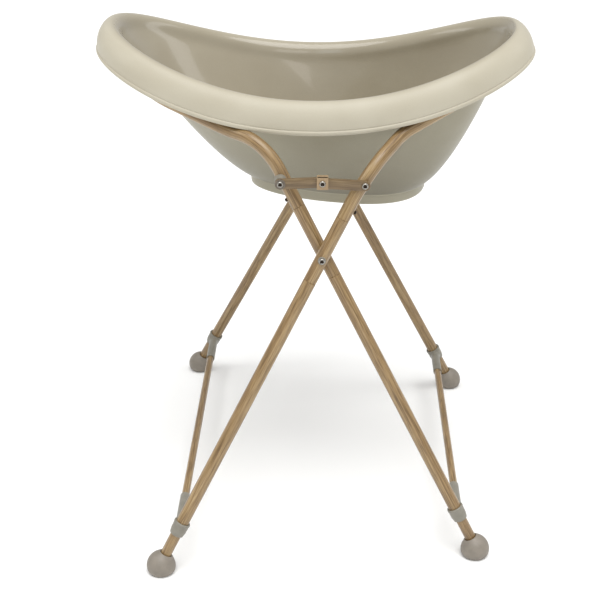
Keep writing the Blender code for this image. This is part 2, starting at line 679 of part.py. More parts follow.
def build_bath(parent):
    shell = add_object("bath_shell", bath_mesh("bath_shell"), "bath_plastic", Matrix(), parent)
    drain = Vector((DRAIN_X, 0, 0))
    hole = rod_cutter("drain_hole", DRAIN_R, drain + Vector((0, 0, PLINTH_Z - 0.01)),
                      drain + Vector((0, 0, FLOOR_Z + 0.02)), 20)
    shape_with(shell, hole)
    stem = DRAIN_R - GAP - 0.0002
    profile = [
        (0, 0.0110), (0.0040, 0.0110), (0.0048, 0.0098), (0.0040, 0.0035), (0.0180, 0.0022), (0.0188, GAP),
        (stem, GAP), (stem - 0.0010, -0.0060), (0, -0.0060),
    ]
    place = Matrix.Translation((DRAIN_X, 0, FLOOR_Z))
    add_object("drain_plug", turned_mesh("drain_plug", profile, 20), "trim_plastic", place, parent)


def main():
    clear_scene()
    frame_a = add_empty("frame_a", (CROSS_X, 0, CROSS_Z))
    frame_b = add_empty("frame_b", (CROSS_X, 0, CROSS_Z))
    bath = add_empty("bath", (0, 0, 0))
    build_stand(frame_a, frame_b)
    build_bath(bath)


main()
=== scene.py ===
"""The looks of a baby bath on a folding X stand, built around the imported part, in metres, +Z up."""
import json
import math

import bmesh
import bpy
from mathutils import Matrix, Vector


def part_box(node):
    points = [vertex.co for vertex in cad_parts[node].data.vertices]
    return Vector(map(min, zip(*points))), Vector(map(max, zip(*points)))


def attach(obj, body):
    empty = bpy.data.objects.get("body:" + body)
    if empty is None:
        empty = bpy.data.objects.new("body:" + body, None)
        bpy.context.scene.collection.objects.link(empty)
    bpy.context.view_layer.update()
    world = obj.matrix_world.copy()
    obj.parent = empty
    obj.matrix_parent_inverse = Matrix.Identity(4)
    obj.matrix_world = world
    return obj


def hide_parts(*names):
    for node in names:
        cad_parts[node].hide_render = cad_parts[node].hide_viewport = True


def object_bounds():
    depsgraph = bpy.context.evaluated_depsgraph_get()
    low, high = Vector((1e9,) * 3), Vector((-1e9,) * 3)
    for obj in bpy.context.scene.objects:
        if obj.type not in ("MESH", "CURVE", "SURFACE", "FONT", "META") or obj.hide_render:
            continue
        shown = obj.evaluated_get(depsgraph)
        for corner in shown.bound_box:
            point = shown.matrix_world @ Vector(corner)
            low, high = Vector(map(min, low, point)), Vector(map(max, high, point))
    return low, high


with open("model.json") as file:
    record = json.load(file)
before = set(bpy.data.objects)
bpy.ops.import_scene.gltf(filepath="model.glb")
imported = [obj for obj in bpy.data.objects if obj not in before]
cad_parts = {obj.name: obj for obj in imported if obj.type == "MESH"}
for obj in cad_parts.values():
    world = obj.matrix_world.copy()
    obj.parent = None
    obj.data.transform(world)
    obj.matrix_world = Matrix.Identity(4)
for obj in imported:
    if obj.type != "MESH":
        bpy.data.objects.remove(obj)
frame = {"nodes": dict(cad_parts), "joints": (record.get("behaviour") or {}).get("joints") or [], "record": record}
cad_low, cad_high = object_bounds()
record = frame["record"]
joints = {joint["name"]: joint for joint in frame["joints"]}
BODY_OF = {node: body for body, nodes in record["behaviour"]["bodies"].items() for node in nodes}
SIDES = {"front": -1, "rear": 1}
LEAN = {"a": 1, "b": -1}

# Tubes
TUBE_R = 0.0125
TUBE_WALL = 0.0012
BORE_R = TUBE_R - TUBE_WALL
NECK_LENGTH = 0.034
FOOT_TUBE_R = 0.0109
ROD_R = 0.0078
TURNS = 48                 # sides of a turned piece
TUBE_EDGE = 0.0007         # rounding of a tube's cut end
COLLAR_HALF = 0.0145
COLLAR_Z = 0.0936
SOCKET_R = 0.0098
HEX_R = 0.0034             # to a flat of a bolt's socket
HEAD_R = 0.0062
HEAD_HEIGHT = 0.0032
SHANK_BORE_R = 0.0031      # of the rings around a bolt
NUT_R = 0.0052             # to a flat
BRACE_WASHER_R = 0.0098
CLIP_PLATE = 0.0012
BAR_HALF_HEIGHT = 0.0100
BAR_EDGE = 0.0010          # rounding of a brace bar's edges
BAR_END_STEPS = 24

# The bent arms of each upper U tube, front half, and the bend at each corner
BEND_S = {"a": 0.134, "b": 0.232}
ARM_CORNERS = {
    "a": [(0.115, -0.2843, 0.8058), (0.165, -0.214, 0.8405), (0.275, -0.180, 0.896), (0.3778, -0.100, 0.926)],
    "b": [(-0.158, -0.211, 0.841), (-0.285, -0.174, 0.891), (-0.3672, -0.105, 0.926)],
}
BEND_RADII = {"a": [0.250, 0.060, 0.070, 0.100, 0.060], "b": [0.095, 0.090, 0.100, 0.060]}
BEND_STEP = math.radians(4)

# Bath
RIM_LEFT, RIM_RIGHT = -cad_low.x, cad_high.x
RIM_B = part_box("bath_shell")[1].y
RIM_N = 2.36
RIM_Z = 0.8417
RIM_SAG = 0.106
ROLL_RISE, ROLL_INSET, ROLL_INSIDE = 0.0585, 0.0300, 0.0448
END_DROP = (0.103, 0.168)  # share by which the roll is lower at its left and right ends
END_LEAN = 0.0095          # how far the crest leans in at the right end
END_POWER = 5.2
BODY_TOP_INSET, BODY_END_INSET = 0.047, 0.0445
BODY_TOP_RISE = 0.030
BODY_Z = 0.692
BODY_LEFT, BODY_RIGHT, BODY_HALF = -0.1349, 0.2267, 0.1435
LEFT_CURVE, RIGHT_CURVE, SIDE_CURVE = 0.7425, 0.6755, 0.95
BODY_N = 2.336             # superellipse exponent of the plinth's plan
EGG = 0.258                # share by which the plinth is wider at its right end
EGG_FADE = 0.7
WALL = 0.0042
OUTER_EASE = 0.0004        # keeps the round wall off the tubes, which touch the faceted one
PLINTH_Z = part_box("bath_shell")[0].z
PLINTH_INSET = 0.0035
FLOOR_Z = PLINTH_Z + 0.0085
AROUND = 112
DRAIN_X = (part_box("drain_plug")[0].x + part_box("drain_plug")[1].x) / 2
DRAIN_R = 0.0140

# Studio
WORLD_STRENGTH = 0.50
SUN_ENERGY = 2.6
SUN_TOWARDS = (0.05, -0.30, 1.0)
CAMERA_PLACE = (0.0331, -2.6118, 1.6243)
CAMERA_LENS = 81
CAMERA_DOWN, CAMERA_TURN = 0.43964, 0.02475


def linear(red, green, blue):
    """An sRGB colour of 0 to 255 as a linear RGBA."""
    values = []
    for part in (red, green, blue):
        share = part / 255
        values.append(share / 12.92 if share <= 0.04045 else ((share + 0.055) / 1.055) ** 2.4)
    return (*values, 1.0)


# The bath's tone runs from 0 low on the body to 0.3 at its top; the inside is 0.5 and the rim is 1. These colours
# are painted light and shade: painted shade darkens the body towards its bottom and the inside, and painted light
# makes the rim lighter.
INSIDE_PAINTED_LIGHT = 0.50
BODY_PAINTED_LIGHT = 0.30
PLINTH_PAINTED_LIGHT = 0.22
BATH_PAINTED_LIGHT = [
    (0.0, linear(110, 106, 92)), (0.3, linear(166, 161, 142)), (0.5, linear(160, 152, 134)),
    (1.0, linear(187, 181, 165)),
]


def level(value):
    """A plain value as the colour of a ramp's stop."""
    return (value, value, value, 1.0)


# By tone too: the body's outside is satin, the inside is glossy and the rim is satin again
BATH_ROUGHNESS = [(0.30, level(0.42)), (0.48, level(0.24)), (1.0, level(0.40))]
BATH_COAT = [(0.30, level(0.06)), (0.48, level(0.50)), (1.0, level(0.0))]


class Nodes:
    """A material's node tree, with short calls for adding and joining nodes."""

    def __init__(self, name, roughness, metallic=0.0):
        self.material = bpy.data.materials.new(name)
        self.material.use_nodes = True
        self.tree = self.material.node_tree
        self.shader = self.tree.nodes["Principled BSDF"]
        self.shader.inputs["Roughness"].default_value = roughness
        self.shader.inputs["Metallic"].default_value = metallic

    def add(self, kind, **settings):
        node = self.tree.nodes.new(kind)
        for key, value in settings.items():
            setattr(node, key, value)
        return node

    def join(self, output, target):
        self.tree.links.new(output, target)

    def place(self, scale, attribute=None):
        """Object coordinates, or a point attribute, times a scale."""
        if attribute:
            source = self.add("ShaderNodeAttribute", attribute_name=attribute).outputs["Vector"]
        else:
            source = self.add("ShaderNodeTexCoord").outputs["Object"]
        mapping = self.add("ShaderNodeMapping")
        mapping.inputs["Scale"].default_value = scale
        self.join(source, mapping.inputs["Vector"])
        return mapping.outputs["Vector"]

    def noise(self, place, scale=1.0, detail=4.0, roughness=0.5, distortion=0.0):
        node = self.add("ShaderNodeTexNoise")
        node.inputs["Scale"].default_value = scale
        node.inputs["Detail"].default_value = detail
        node.inputs["Roughness"].default_value = roughness
        node.inputs["Distortion"].default_value = distortion
        self.join(place, node.inputs["Vector"])
        return node.outputs["Fac"]

    def ramp(self, value, stops):
        node = self.add("ShaderNodeValToRGB")
        elements = node.color_ramp.elements
        while len(elements) < len(stops):
            elements.new(0.5)
        for element, (position, colour) in zip(elements, stops):
            element.position = position
            element.color = colour
        self.join(value, node.inputs["Fac"])
        return node.outputs["Color"]

    def mix(self, first, second, factor, blend="MIX"):
        """Mixes two colours; any of the three may be an output or a value."""
        node = self.add("ShaderNodeMix", data_type="RGBA", blend_type=blend)
        for index, value in ((6, first), (7, second), (0, factor)):
            if isinstance(value, bpy.types.NodeSocket):
                self.join(value, node.inputs[index])
            else:
                node.inputs[index].default_value = value
        return node.outputs[2]

    def span(self, value, low, high):
        """Maps 0..1 to low..high."""
        node = self.add("ShaderNodeMapRange")
        node.inputs["To Min"].default_value = low
        node.inputs["To Max"].default_value = high
        self.join(value, node.inputs["Value"])
        return node.outputs["Result"]

    def part(self, vector, index):
        """One of a vector's three values."""
        node = self.add("ShaderNodeSeparateXYZ")
        self.join(vector, node.inputs["Vector"])
        return node.outputs[index]

    def colour(self, output):
        self.join(output, self.shader.inputs["Base Color"])

    def roughness(self, output):
        self.join(output, self.shader.inputs["Roughness"])

    def bump(self, height, strength, distance):
        node = self.add("ShaderNodeBump")
        node.inputs["Strength"].default_value = strength
        node.inputs["Distance"].default_value = distance
        self.join(height, node.inputs["Height"])
        self.join(node.outputs["Normal"], self.shader.inputs["Normal"])

    def coat(self, weight, roughness):
        self.shader.inputs["Coat Weight"].default_value = weight
        self.shader.inputs["Coat Roughness"].default_value = roughness


def bath_plastic():
    """Warm grey-beige moulding, glossy inside: lighter on the rim by painted light and darker low on the body and
    inside by painted shade, with faint clouding and orange peel.
    """
    made = Nodes("bath_plastic", 0.20)
    tone = made.place((1, 1, 1), "tone")
    clouds = made.noise(made.place((6, 6, 9)), 1.0, 3.0, 0.5, 0.4)
    cloudy = made.ramp(clouds, [(0.30, linear(243, 241, 236)), (0.70, linear(255, 255, 253))])
    # The colour by tone: painted light on the rim, painted shade low on the body and inside.
    body = made.ramp(made.part(tone, 0), BATH_PAINTED_LIGHT)
    specks = made.noise(made.place((900, 900, 900)), 1.0, 2.0)
    speck_colour = made.ramp(specks, [(0.35, linear(160, 152, 132)), (0.65, linear(206, 199, 181))])
    speckled = made.mix(body, speck_colour, 0.07)
    made.colour(made.mix(speckled, cloudy, 1.0, "MULTIPLY"))
    wear = made.span(made.noise(made.place((34, 34, 34)), 1.0, 5.0, 0.6), -0.05, 0.05)
    rough = made.add("ShaderNodeMath", operation="ADD")
    made.join(made.ramp(made.part(tone, 0), BATH_ROUGHNESS), rough.inputs[0])
    made.join(wear, rough.inputs[1])
    made.roughness(rough.outputs[0])
    peel = made.noise(made.place((260, 260, 260)), 1.0, 2.0)
    made.bump(peel, 0.05, 0.0006)
    made.coat(0.0, 0.06)
    made.join(made.ramp(made.part(tone, 0), BATH_COAT), made.shader.inputs["Coat Weight"])
    made.join(made.span(made.part(tone, 0), 0.45, 0.25), made.shader.inputs["Specular IOR Level"])
    return made.material


def trim_plastic(name, light, dark, roughness):
    """Satin moulding with a fine spark-eroded texture."""
    made = Nodes(name, roughness)
    clouds = made.noise(made.place((55, 55, 55)), 1.0, 4.0, 0.55)
    made.colour(made.ramp(clouds, [(0.3, dark), (0.7, light)]))
    grain = made.noise(made.place((1500, 1500, 1500)), 1.0, 2.0)
    made.roughness(made.span(grain, roughness - 0.07, roughness + 0.07))
    made.bump(grain, 0.12, 0.0003)
    return made.material


def wood_print(name, shade):
    """A light wood-grain foil on tube: long streaks, darker pores and a satin lacquer."""
    made = Nodes(name, 0.38)
    streaks = made.noise(made.place((260, 260, 9), "grain"), 1.0, 6.0, 0.62, 0.35)
    base = made.ramp(streaks, [
        (0.28, linear(118, 95, 60)), (0.44, linear(147, 124, 86)),
        (0.58, linear(168, 145, 106)), (0.74, linear(186, 166, 130)),
    ])
    pores = made.noise(made.place((900, 900, 26), "grain"), 1.0, 3.0, 0.5)
    pore_colour = made.ramp(pores, [(0.36, linear(112, 80, 50)), (0.50, linear(255, 255, 255))])
    pored = made.mix(base, pore_colour, 0.55, "MULTIPLY")
    bands = made.noise(made.place((70, 70, 3.2), "grain"), 1.0, 3.0, 0.5, 0.8)
    tint = made.ramp(bands, [(0.32, linear(214, 200, 184)), (0.68, linear(255, 252, 246))])
    tinted = made.mix(pored, tint, 0.8, "MULTIPLY")
    # A shade below 1 darkens the whole print: painted shade.
    made.colour(made.mix(tinted, (shade, shade * 0.98, shade * 0.96, 1.0), 1.0, "MULTIPLY"))
    made.roughness(made.span(streaks, 0.32, 0.46))
    made.bump(pores, 0.10, 0.0003)
    made.coat(0.25, 0.18)
    return made.material


def steel(name, dark, light, roughness):
    """Plated steel with fine brushing."""
    made = Nodes(name, roughness, 1.0)
    scuffs = made.noise(made.place((420, 420, 2600)), 1.0, 3.0)
    made.colour(made.ramp(scuffs, [(0.3, linear(*dark)), (0.7, linear(*light))]))
    made.roughness(made.span(scuffs, roughness - 0.08, roughness + 0.10))
    made.bump(scuffs, 0.06, 0.0002)
    return made.material


def soften(points, radius, pieces=4):
    """An open line of (radius, height) points with every inner corner rounded."""
    line = [Vector(point) for point in points]
    result = [line[0]]
    for before, corner, after in zip(line, line[1:], line[2:]):
        back, on = before - corner, after - corner
        start = corner + back.normalized() * min(radius, back.length * 0.45)
        end = corner + on.normalized() * min(radius, on.length * 0.45)
        for index in range(pieces + 1):
            share = index / pieces
            result.append(start * (1 - share) ** 2 + corner * 2 * share * (1 - share) + end * share ** 2)
    result.append(line[-1])
    return result


def mesh_from(bm, name, smooth_angle=40):
    bmesh.ops.recalc_face_normals(bm, faces=bm.faces)
    mesh = bpy.data.meshes.new(name)
    bm.to_mesh(mesh)
    bm.free()
    mesh.shade_smooth()
    mesh.set_sharp_from_angle(angle=math.radians(smooth_angle))
    return mesh


def hex_radius(angle):
    """The radius of a six-sided outline at an angle, where its flats are at 1."""
    sixth = math.pi / 3
    return 1 / math.cos((angle % sixth) - sixth / 2)


def turned_bmesh(profile, sides=TURNS, six_sided=()):
    """Turns (radius, height) points about Z; six_sided lists the points that follow a hexagon instead."""
    bm = bmesh.new()
    rings = []
    for index, (radius, height) in enumerate(profile):
        if radius < 1e-6:
            rings.append([bm.verts.new((0, 0, height))])
            continue
        ring = []
        for step in range(sides):
            angle = math.tau * step / sides
            reach = radius * hex_radius(angle) if index in six_sided else radius
            ring.append(bm.verts.new((reach * math.cos(angle), reach * math.sin(angle), height)))
        rings.append(ring)
    pairs = list(zip(rings, rings[1:]))
    if len(rings[0]) > 1 and len(rings[-1]) > 1:
        pairs.append((rings[-1], rings[0]))
    for first, second in pairs:
        for step in range(sides):
            after = (step + 1) % sides
            corners = [first[step % len(first)], first[after % len(first)],
                       second[after % len(second)], second[step % len(second)]]
            bm.faces.new(list(dict.fromkeys(corners)))
    return bm


def turned(name, profile, sides=TURNS, six_sided=()):
    return mesh_from(turned_bmesh(profile, sides, six_sided), name)


def store(mesh, name, vectors):
    """Stores a vector for each point, for a material to read."""
    attribute = mesh.attributes.new(name, "FLOAT_VECTOR", "POINT")
    attribute.data.foreach_set("vector", [value for vector in vectors for value in vector])


def grain_along_z(mesh, start):
    """Stores where each point lies in the wood print, whose grain runs along Z."""
    store(mesh, "grain", [(vert.co.x, vert.co.y, vert.co.z + start) for vert in mesh.vertices])


def frame_matrix(origin, z_axis, x_hint):
    z_axis = Vector(z_axis).normalized()
    y_axis = z_axis.cross(Vector(x_hint)).normalized()
    matrix = Matrix((y_axis.cross(z_axis), y_axis, z_axis)).transposed().to_4x4()
    matrix.translation = Vector(origin)
    return matrix


def piece(name, mesh, matrix, nodes, material):
    """A piece that stands for CAD nodes and rides on their body."""
    made = bpy.data.objects.new(name, mesh)
    bpy.context.scene.collection.objects.link(made)
    made.matrix_world = matrix
    mesh.materials.append(material)
    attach(made, BODY_OF[nodes[0]])
    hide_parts(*nodes)
    return made


def end_centre(points, direction, sign):
    """The middle of a tube's end ring, for points on a tube along direction."""
    reach = max(sign * point.dot(direction) for point in points)
    ring = [point for point in points if sign * point.dot(direction) > reach - 0.008]
    return sum(ring, Vector()) / len(ring)


def tube_ends(node):
    """The two ends of a straight tube node's axis, lower or front end first."""
    points = [vert.co for vert in frame["nodes"][node].data.vertices]
    low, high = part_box(node)
    middle = (low + high) / 2
    direction = max((point - middle for point in points), key=lambda reach: reach.length).normalized()
    if direction.z < 0 or (abs(direction.z) < 0.01 and direction.y < 0):
        direction = -direction
    for _ in range(4):
        start, end = end_centre(points, direction, -1), end_centre(points, direction, 1)
        direction = (end - start).normalized()
    return start, end


class Leg:
    """One leg's axis, taken from its tubes in the frame. Distances run up it from the pivot axis."""

    def __init__(self, letter, side_name):
        self.letter = letter
        self.side = SIDES[side_name]
        self.name = f"{letter}_{side_name}"
        start, end = tube_ends(f"leg_tube_{self.name}")
        self.axis = (end - start).normalized()
        self.out = Vector((self.axis.z, 0, -self.axis.x)).normalized() * LEAN[letter]
        pivot_z = joints["stand_fold"]["pos_m"][2]
        self.cross = start + self.axis * ((pivot_z - start.z) / self.axis.z)

    def point(self, distance):
        return self.cross + self.axis * distance

    def at_height(self, height):
        return (height - self.cross.z) / self.axis.z

    def along(self, point):
        return (point - self.cross).dot(self.axis)

    def matrix(self, distance):
        return frame_matrix(self.point(distance), self.axis, self.out)


def straight_tube(leg, kind, radius, neck, material):
    """A tube between the ends of a CAD node, with its swaged neck if it has one."""
    node = f"{kind}_{leg.name}"
    start, end = tube_ends(node)
    length = (end - start).length
    low = leg.along(start)
    bore = radius - TUBE_WALL
    if neck:
        body = length - NECK_LENGTH
        plug = bore - 0.0003
        profile = [
            (plug, length), (plug, body + 0.0006), (radius - TUBE_EDGE, body), (radius, body - TUBE_EDGE),
            (radius, TUBE_EDGE), (radius - TUBE_EDGE, 0), (bore, 0), (bore, body - 0.004),
            (plug - TUBE_WALL, body - 0.0015), (plug - TUBE_WALL, length),
        ]
    else:
        profile = [
            (radius, length), (radius, TUBE_EDGE), (radius - TUBE_EDGE / 2, 0), (bore, 0), (bore, length),
        ]
    mesh = turned(f"{node}_fine", profile)
    grain_along_z(mesh, 0.7 * low + 3.1 * leg.side + 1.7 * LEAN[leg.letter])
    return piece(f"{node}_fine", mesh, leg.matrix(low), [node], material)


def rounded_path(corners, radii, step):
    """The corners with each inner one turned into an arc of its radius, as points."""
    points = [corners[0]]
    for before, corner, after, radius in zip(corners, corners[1:], corners[2:], radii):
        inward = (before - corner).normalized()
        outward = (after - corner).normalized()
        half = inward.angle(outward) / 2
        centre = corner + (inward + outward).normalized() * (radius / math.sin(half))
        start = corner + inward * (radius / math.tan(half)) - centre
        end = corner + outward * (radius / math.tan(half)) - centre
        turn = start.angle(end)
        count = max(2, round(turn / step))
        for index in range(count + 1):
            share = index / count
            weight_start = math.sin((1 - share) * turn) / math.sin(turn)
            weight_end = math.sin(share * turn) / math.sin(turn)
            points.append(centre + start * weight_start + end * weight_end)
    points.append(corners[-1])
    return points


def upper_frame(letter, legs, material):
    """The bent U tube: two arms and the crossbar under the bath's end, with its grain along the bends."""
    front = legs[letter, "front"]
    node = f"upper_frame_{letter}"
    seam = front.along(tube_ends(f"pivot_tube_{front.name}")[1]) - NECK_LENGTH + 0.0003
    half = [front.point(seam), front.point(BEND_S[letter])]
    half += [Vector(corner) for corner in ARM_CORNERS[letter]]
    corners = half + [Vector((point.x, -point.y, point.z)) for point in reversed(half)]
    radii = BEND_RADII[letter] + BEND_RADII[letter][::-1]
    points = rounded_path(corners, radii, BEND_STEP)
    stations = [(0.0, TUBE_R - TUBE_EDGE), (TUBE_EDGE, TUBE_R)]
    bm = bmesh.new()
    rings, places = [], []
    across = front.out
    travelled = 0.0
    for index, point in enumerate(points):
        before, after = points[max(index - 1, 0)], points[min(index + 1, len(points) - 1)]
        tangent = ((point - before).normalized() + (after - point).normalized()).normalized()
        across = (across - tangent * across.dot(tangent)).normalized()
        upward = tangent.cross(across)
        travelled += (point - before).length
        if index == 0:
            shifts = stations
        elif index == len(points) - 1:
            shifts = [(-step, radius) for step, radius in reversed(stations)]
        else:
            shifts = [(0.0, TUBE_R)]
        for shift, radius in shifts:
            ring = []
            for step in range(TURNS):
                angle = math.tau * step / TURNS
                spoke = across * math.cos(angle) + upward * math.sin(angle)
                ring.append(bm.verts.new(point + tangent * shift + spoke * radius))
                grain_place = travelled + shift + 5 * LEAN[letter]
                places.append((TUBE_R * math.cos(angle), TUBE_R * math.sin(angle), grain_place))
            rings.append(ring)
    for point, ring in ((points[0], rings[0]), (points[-1], rings[-1])):
        inner = []
        for vert in ring:
            inner.append(bm.verts.new(point + (vert.co - point).normalized() * BORE_R))
            places.append((0.0, 0.0, 0.0))
        for step in range(TURNS):
            after = (step + 1) % TURNS
            bm.faces.new((ring[step], ring[after], inner[after], inner[step]))
    for first, second in zip(rings, rings[1:]):
        for step in range(TURNS):
            after = (step + 1) % TURNS
            bm.faces.new((first[step], first[after], second[after], second[step]))
    mesh = mesh_from(bm, f"{node}_fine")
    store(mesh, "grain", places)
    return piece(f"{node}_fine", mesh, Matrix(), [node], material)


def side_rod(letter, material):
    node = f"side_rod_{letter}"
    start, end = tube_ends(node)
    length = (end - start).length
    mesh = turned(f"{node}_fine", [(ROD_R, length), (ROD_R, 0), (ROD_R - 0.001, 0), (ROD_R - 0.001, length)])
    grain_along_z(mesh, 8.3 * LEAN[letter])
    return piece(f"{node}_fine", mesh, frame_matrix(start, end - start, (1, 0, 0)), [node], material)


def joined(meshes_and_places, name):
    """One mesh from several (mesh, matrix) pairs."""
    bm = bmesh.new()
    for mesh, matrix in meshes_and_places:
        mesh.transform(matrix)
        bm.from_mesh(mesh)
        bpy.data.meshes.remove(mesh)
    return mesh_from(bm, name)


def collar(leg, material):
    """The sleeve at a leg's lower end with its light top ring, and the long socket of the side rod."""
    node = f"collar_{leg.name}"
    middle = leg.at_height(COLLAR_Z)
    centre = leg.point(middle)
    low, high = -COLLAR_HALF, COLLAR_HALF
    sleeve = soften([
        (TUBE_R + 0.0003, high - 0.003), (TUBE_R + 0.0004, high), (0.0158, high), (0.0166, high - 0.0014),
        (0.0166, high - 0.0042), (0.0158, high - 0.0050), (0.0156, low + 0.0100), (0.0138, low),
        (FOOT_TUBE_R + 0.0003, low), (FOOT_TUBE_R + 0.0002, low + 0.003),
    ], 0.0007, 3)
    inward = Vector((0, -leg.side, 0))
    low_box, high_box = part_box(node)
    mouth = low_box.y if leg.side > 0 else high_box.y
    reach = abs(mouth - centre.y)
    socket = soften([
        (ROD_R + 0.0003, reach - 0.004), (ROD_R + 0.0004, reach), (SOCKET_R, reach), (SOCKET_R, 0.0225),
        (SOCKET_R + 0.0012, 0.0175), (SOCKET_R + 0.0030, 0.0135), (SOCKET_R + 0.0030, 0.0080),
        (0.004, 0.0080),
    ], 0.0009, 3)
    parts = [
        (turned("sleeve", sleeve), leg.matrix(middle)),
        (turned("socket", socket), frame_matrix(centre, inward, leg.axis)),
    ]
    return piece(f"{node}_fine", joined(parts, f"{node}_fine"), Matrix(), [node], material)


def foot(leg, material):
    """A bell that leans from its flat round sole up to a lip around the foot tube."""
    node = f"foot_{leg.name}"
    sole = Vector(next(mount["pos_m"] for mount in record["mounts"] if mount["name"] == f"{node}_sole"))
    outline = [
        (0.0215, 0.0, 0.0), (0.0246, 0.0012, 0.0), (0.0272, 0.0052, 0.0), (0.0286, 0.0100, 0.02),
        (0.0289, 0.0150, 0.10), (0.0283, 0.0210, 0.24), (0.0262, 0.0270, 0.42), (0.0228, 0.0322, 0.62),
        (0.0188, 0.0360, 0.82), (0.0158, 0.0382, 0.95), (0.0144, 0.0392, 1.0), (0.0136, 0.0398, 1.0),
        (0.0124, 0.0398, 1.0), (FOOT_TUBE_R + 0.0004, 0.0388, 1.0), (FOOT_TUBE_R + 0.0002, 0.0360, 1.0),
    ]
    bm = bmesh.new()
    rings = []
    for radius, height, share in outline:
        centre = sole.lerp(leg.point(leg.at_height(height)), share)
        centre.z = height
        upward = Vector((0, 0, 1)).lerp(leg.axis, share).normalized()
        across = leg.out - upward * leg.out.dot(upward)
        across.normalize()
        beside = upward.cross(across)
        ring = []
        for step in range(TURNS):
            angle = math.tau * step / TURNS
            spoke = across * math.cos(angle) + beside * math.sin(angle)
            ring.append(bm.verts.new(centre + spoke * radius))
        rings.append(ring)
    for first, second in zip(rings, rings[1:]):
        for step in range(TURNS):
            after = (step + 1) % TURNS
            bm.faces.new((first[step], first[after], second[after], second[step]))
    bm.faces.new(rings[0])
    bm.faces.new(rings[-1])
    made = piece(f"{node}_fine", mesh_from(bm, f"{node}_fine"), Matrix(), [node], material)
    rounding = made.modifiers.new("rounding", "SUBSURF")
    rounding.levels = 1
    rounding.render_levels = 1
    return made


def button_head(name, shank, washer_r):
    """A button-head screw about Z with a hexagon socket, its head's underside at 0, and maybe a washer."""
    socket_floor = HEAD_HEIGHT - 0.0022
    crown = [
        (0.0, -shank), (0.0030, -shank), (0.0030, -0.0003), (HEAD_R - 0.0004, 0.0), (HEAD_R, 0.0004),
        (HEAD_R * 0.985, HEAD_HEIGHT * 0.30), (HEAD_R * 0.93, HEAD_HEIGHT * 0.62),
        (HEAD_R * 0.84, HEAD_HEIGHT * 0.88), (HEAD_R * 0.74, HEAD_HEIGHT), (HEX_R * 1.20, HEAD_HEIGHT),
    ]
    socket = [(HEX_R, HEAD_HEIGHT - 0.0005), (HEX_R * 0.97, socket_floor)]
    in_hexagon = range(len(crown), len(crown) + len(socket))
    mesh = turned(name, crown + socket + [(0.0, socket_floor - 0.0004)], TURNS, in_hexagon)
    for polygon in mesh.polygons:
        in_socket = polygon.center.xy.length < HEX_R * 1.08 and polygon.center.z > 0
        polygon.material_index = 1 if in_socket else 0
    if washer_r:
        disc = soften([
            (SHANK_BORE_R, 0.0), (SHANK_BORE_R, 0.0004), (washer_r, 0.0004), (washer_r, -0.0001),
            (SHANK_BORE_R, -0.0001),
        ], 0.0002, 2)
        bm = turned_bmesh(disc)
        for face in bm.faces:
            face.material_index = 2
        bm.from_mesh(mesh)
        mesh = mesh_from(bm, name)
    return mesh


def bolt(node, materials, washer_r=0.0):
    """Stands for a bolt node: its axis is along Y through the middle of its box, its head on the outside."""
    low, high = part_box(node)
    side = -1 if high.y < 0 else 1
    centre = (low + high) / 2
    outer = high.y if side > 0 else low.y
    seat = Vector((centre.x, outer - side * HEAD_HEIGHT, centre.z))
    mesh = button_head(f"{node}_fine", high.y - low.y - HEAD_HEIGHT, washer_r)
    made = piece(f"{node}_fine", mesh, frame_matrix(seat, (0, side, 0), (1, 0, 0)), [node], materials[0])
    for extra in materials[1:]:
        mesh.materials.append(extra)
    return made


def ring_about_y(node, inner, outer, rounding, material, is_nut=False):
    """A ring with soft edges that fills a node's depth about the middle of its box, six-sided for a nut."""
    low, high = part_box(node)
    half = (high.y - low.y) / 2
    profile = soften([(inner, half - 0.0002), (inner, half), (outer, half), (outer, -half), (inner, -half),
                      (inner, -half + 0.0002)], rounding, 3)
    in_hexagon = range(5, len(profile) - 5) if is_nut else ()
    mesh = turned(f"{node}_fine", profile, TURNS, in_hexagon)
    return piece(f"{node}_fine", mesh, frame_matrix((low + high) / 2, (0, 1, 0), (1, 0, 0)), [node], material)


def rounded_bar(node, hinge, material):
    """A flat bar with round ends and soft edges, from its hinge to the brace's middle bolt."""
    joint = Vector(joints[hinge]["pos_m"])
    low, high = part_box(node)
    letter, side_name = node.split("_")[2:]
    link_low, link_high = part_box(f"brace_link_bolt_{side_name}")
    link = (link_low + link_high) / 2
    reach = Vector((link.x - joint.x, 0, link.z - joint.z))
    length = reach.length
    thick = high.y - low.y
    edge = BAR_EDGE
    bm = bmesh.new()
    rings = []
    for inset, depth in ((edge, 0), (edge * 0.3, edge * 0.3), (0, edge), (0, thick - edge),
                         (edge * 0.3, thick - edge * 0.3), (edge, thick)):
        radius = BAR_HALF_HEIGHT - inset
        ring = []
        for middle, start in ((length, -math.pi / 2), (0.0, math.pi / 2)):
            for index in range(BAR_END_STEPS + 1):
                angle = start + math.pi * index / BAR_END_STEPS
                place = (middle + radius * math.cos(angle), depth, radius * math.sin(angle))
                ring.append(bm.verts.new(place))
        rings.append(ring)
    count = len(rings[0])
    for first, second in zip(rings, rings[1:]):
        for step in range(count):
            after = (step + 1) % count
            bm.faces.new((first[step], first[after], second[after], second[step]))
    bm.faces.new(rings[0])
    bm.faces.new(rings[-1])
    mesh = mesh_from(bm, f"{node}_fine")
    store(mesh, "grain", [(vert.co.z, vert.co.y, vert.co.x + 2.0 * LEAN[letter]) for vert in mesh.vertices])
    origin = Vector((joint.x, low.y, joint.z))
    place = Matrix.Translation(origin) @ Matrix.Rotation(-math.atan2(reach.z, reach.x), 4, "Y")
    return piece(f"{node}_fine", mesh, place, [node], material)


def rounded_block(low, high, rounding):
    """A block between two corners with well rounded edges."""
    bm = bmesh.new()
    bmesh.ops.create_cube(bm, size=1.0)
    bmesh.ops.scale(bm, verts=bm.verts, vec=high - low)
    bmesh.ops.translate(bm, verts=bm.verts, vec=(low + high) / 2)
    bmesh.ops.bevel(bm, geom=bm.edges, offset=rounding, segments=4, affect="EDGES", profile=0.5)
    return bm


